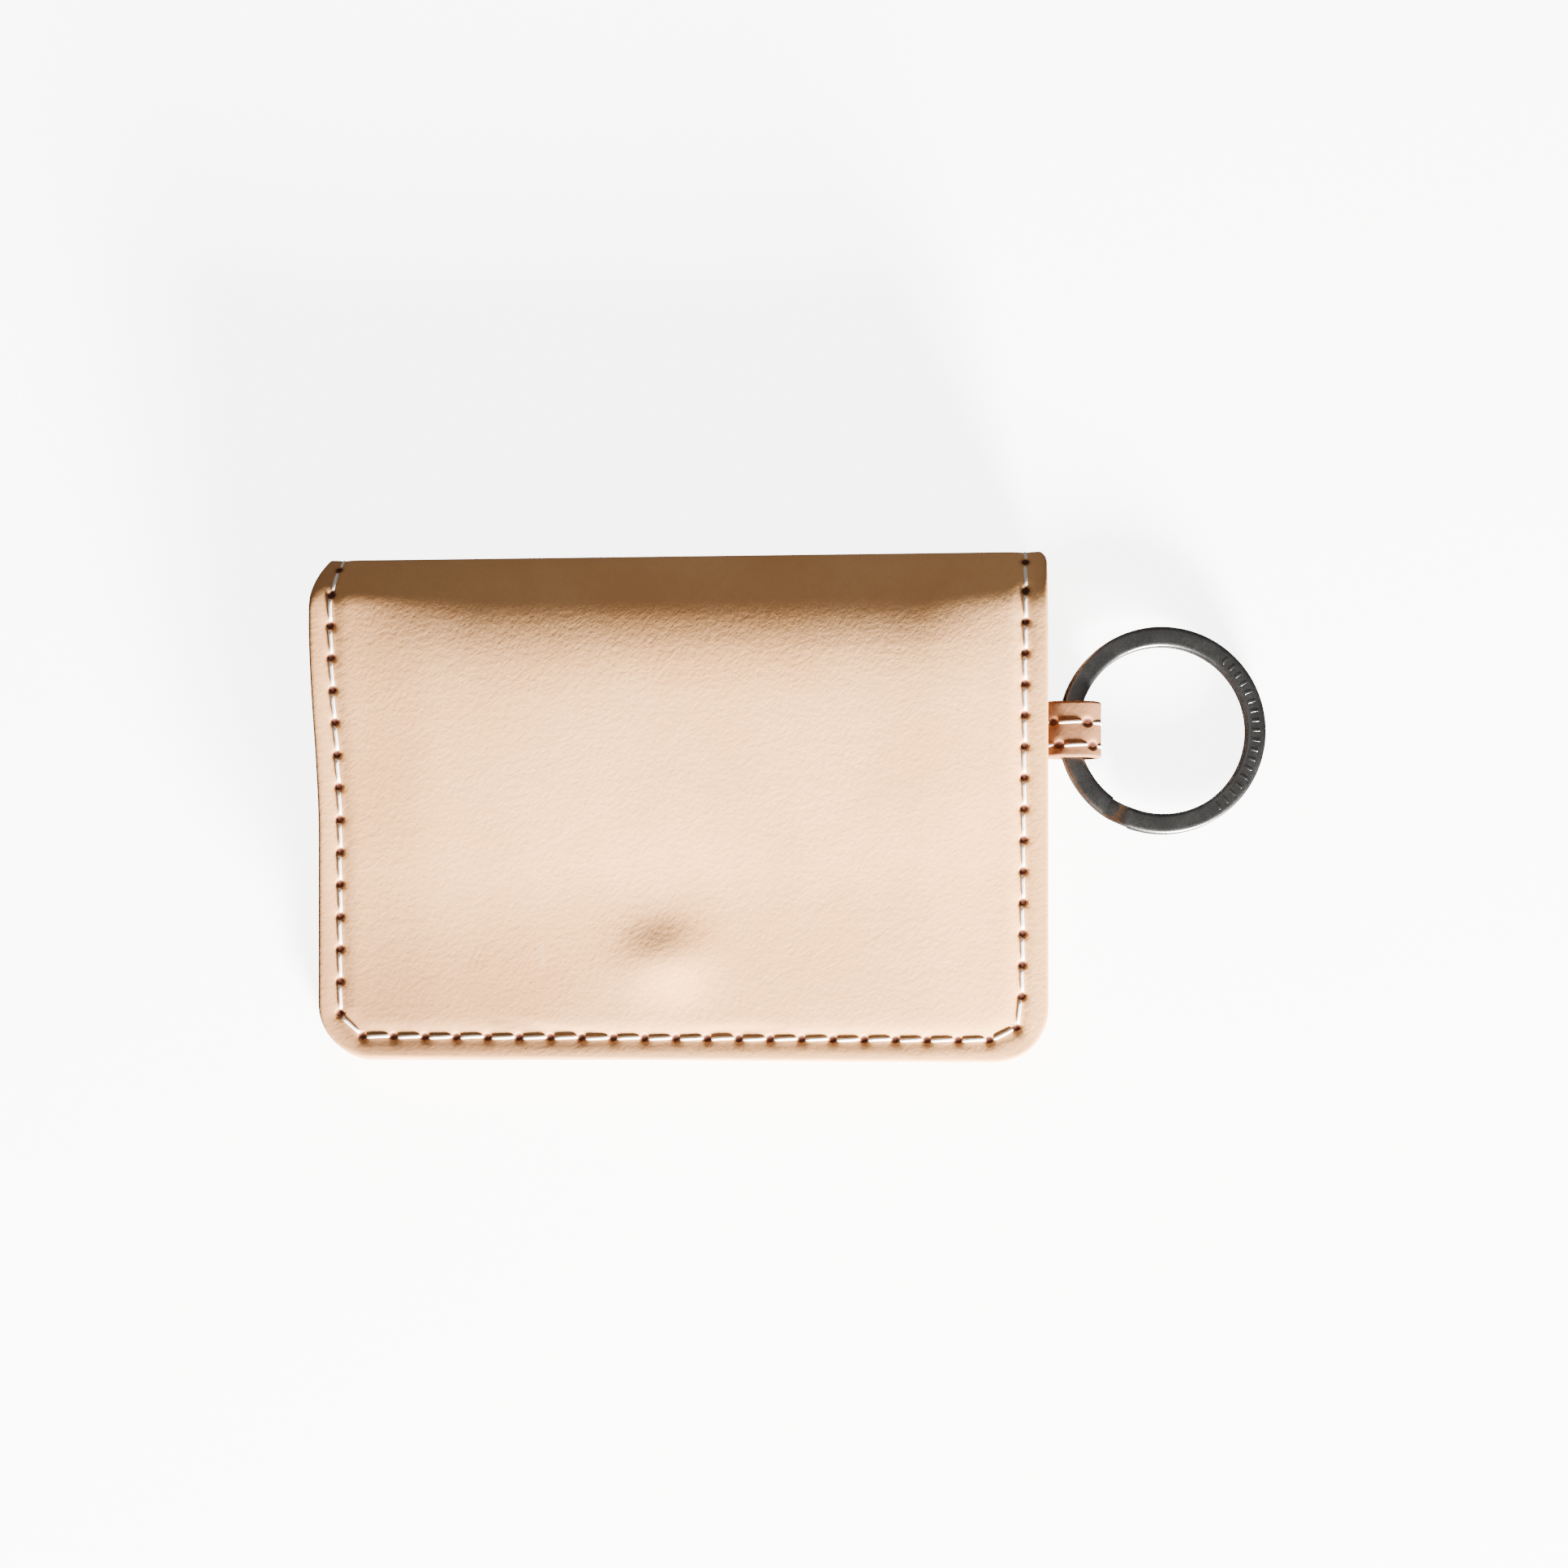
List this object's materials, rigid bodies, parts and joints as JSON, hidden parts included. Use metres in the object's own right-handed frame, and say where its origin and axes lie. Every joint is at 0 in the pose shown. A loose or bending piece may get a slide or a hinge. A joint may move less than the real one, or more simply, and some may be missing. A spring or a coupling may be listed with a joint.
{
  "type": "card holder",
  "caption": "Leather bifold card holder that snaps shut, with a clear identity window at the back, two inner pockets and a flat split ring on a stitched side loop.",
  "frame": {"origin": "centre of the back panel's outer face, on the surface the closed holder lies on", "axes": "+X towards the split ring, +Y towards the fold, +Z out of the front panel"},
  "size_m": [0.1324, 0.0698, 0.014],
  "materials": {
    "outer_leather": "pale vegetable-tanned leather, fine pebbled grain, satin",
    "inner_leather": "suede-like flesh side, matt, warm tan",
    "thread": "waxed off-white thread",
    "clear_sheet": "clear flexible vinyl",
    "snap_metal": "nickel-plated brass, bright",
    "spring_wire": "spring wire, satin",
    "ring_steel": "dark nickel-plated steel, satin, lightly scuffed"
  },
  "bodies": {
    "back": {"back_panel": "outer_leather", "id_window": "clear_sheet", "window_stitching": "thread", "back_pocket": "inner_leather", "back_seam_outer": "thread", "back_seam_inner": "thread", "tab_anchor": "outer_leather", "snap_stud": "snap_metal", "snap_post": "snap_metal"},
    "spine": {"fold_panel": "outer_leather", "fold_lining": "inner_leather", "fold_seam_outer": "thread", "fold_seam_inner": "thread"},
    "front": {"front_panel": "outer_leather", "front_pocket": "inner_leather", "front_seam_outer": "thread", "front_seam_inner": "thread", "snap_cap": "snap_metal", "snap_socket": "snap_metal", "snap_spring": "spring_wire"},
    "tab": {"tab_loop": "outer_leather", "tab_stitching": "thread"},
    "ring": {"split_ring": "ring_steel"}
  },
  "joints": [
    {"name": "lower_fold", "type": "hinge", "parent": "back", "child": "spine", "pos_m": [0, 0.03294, 0.00215], "axis": [-1, 0, 0], "range_deg": [0, 92], "deforming": ["fold_panel", "fold_lining", "fold_seam_outer", "fold_seam_inner"]},
    {"name": "upper_fold", "type": "hinge", "parent": "spine", "child": "front", "pos_m": [0, 0.03259, 0.01218], "axis": [-1, 0, 0], "range_deg": [0, 92], "deforming": ["fold_panel", "fold_lining", "fold_seam_outer", "fold_seam_inner"]},
    {"name": "tab_flex", "type": "hinge", "parent": "back", "child": "tab", "pos_m": [0.05195, 0.0114, 0.0029], "axis": [0, -1, 0], "range_deg": [-35, 35], "stiffness_Nm_per_rad": 0.003},
    {"name": "ring_spin", "type": "hinge", "parent": "tab", "child": "ring", "pos_m": [0.06715, 0.0114, 0.00225], "axis": [0.0591, 0, 0.9983], "continuous": true}
  ],
  "couplings": [
    {"joint": "upper_fold", "follows": "lower_fold", "ratio": 1}
  ]
}
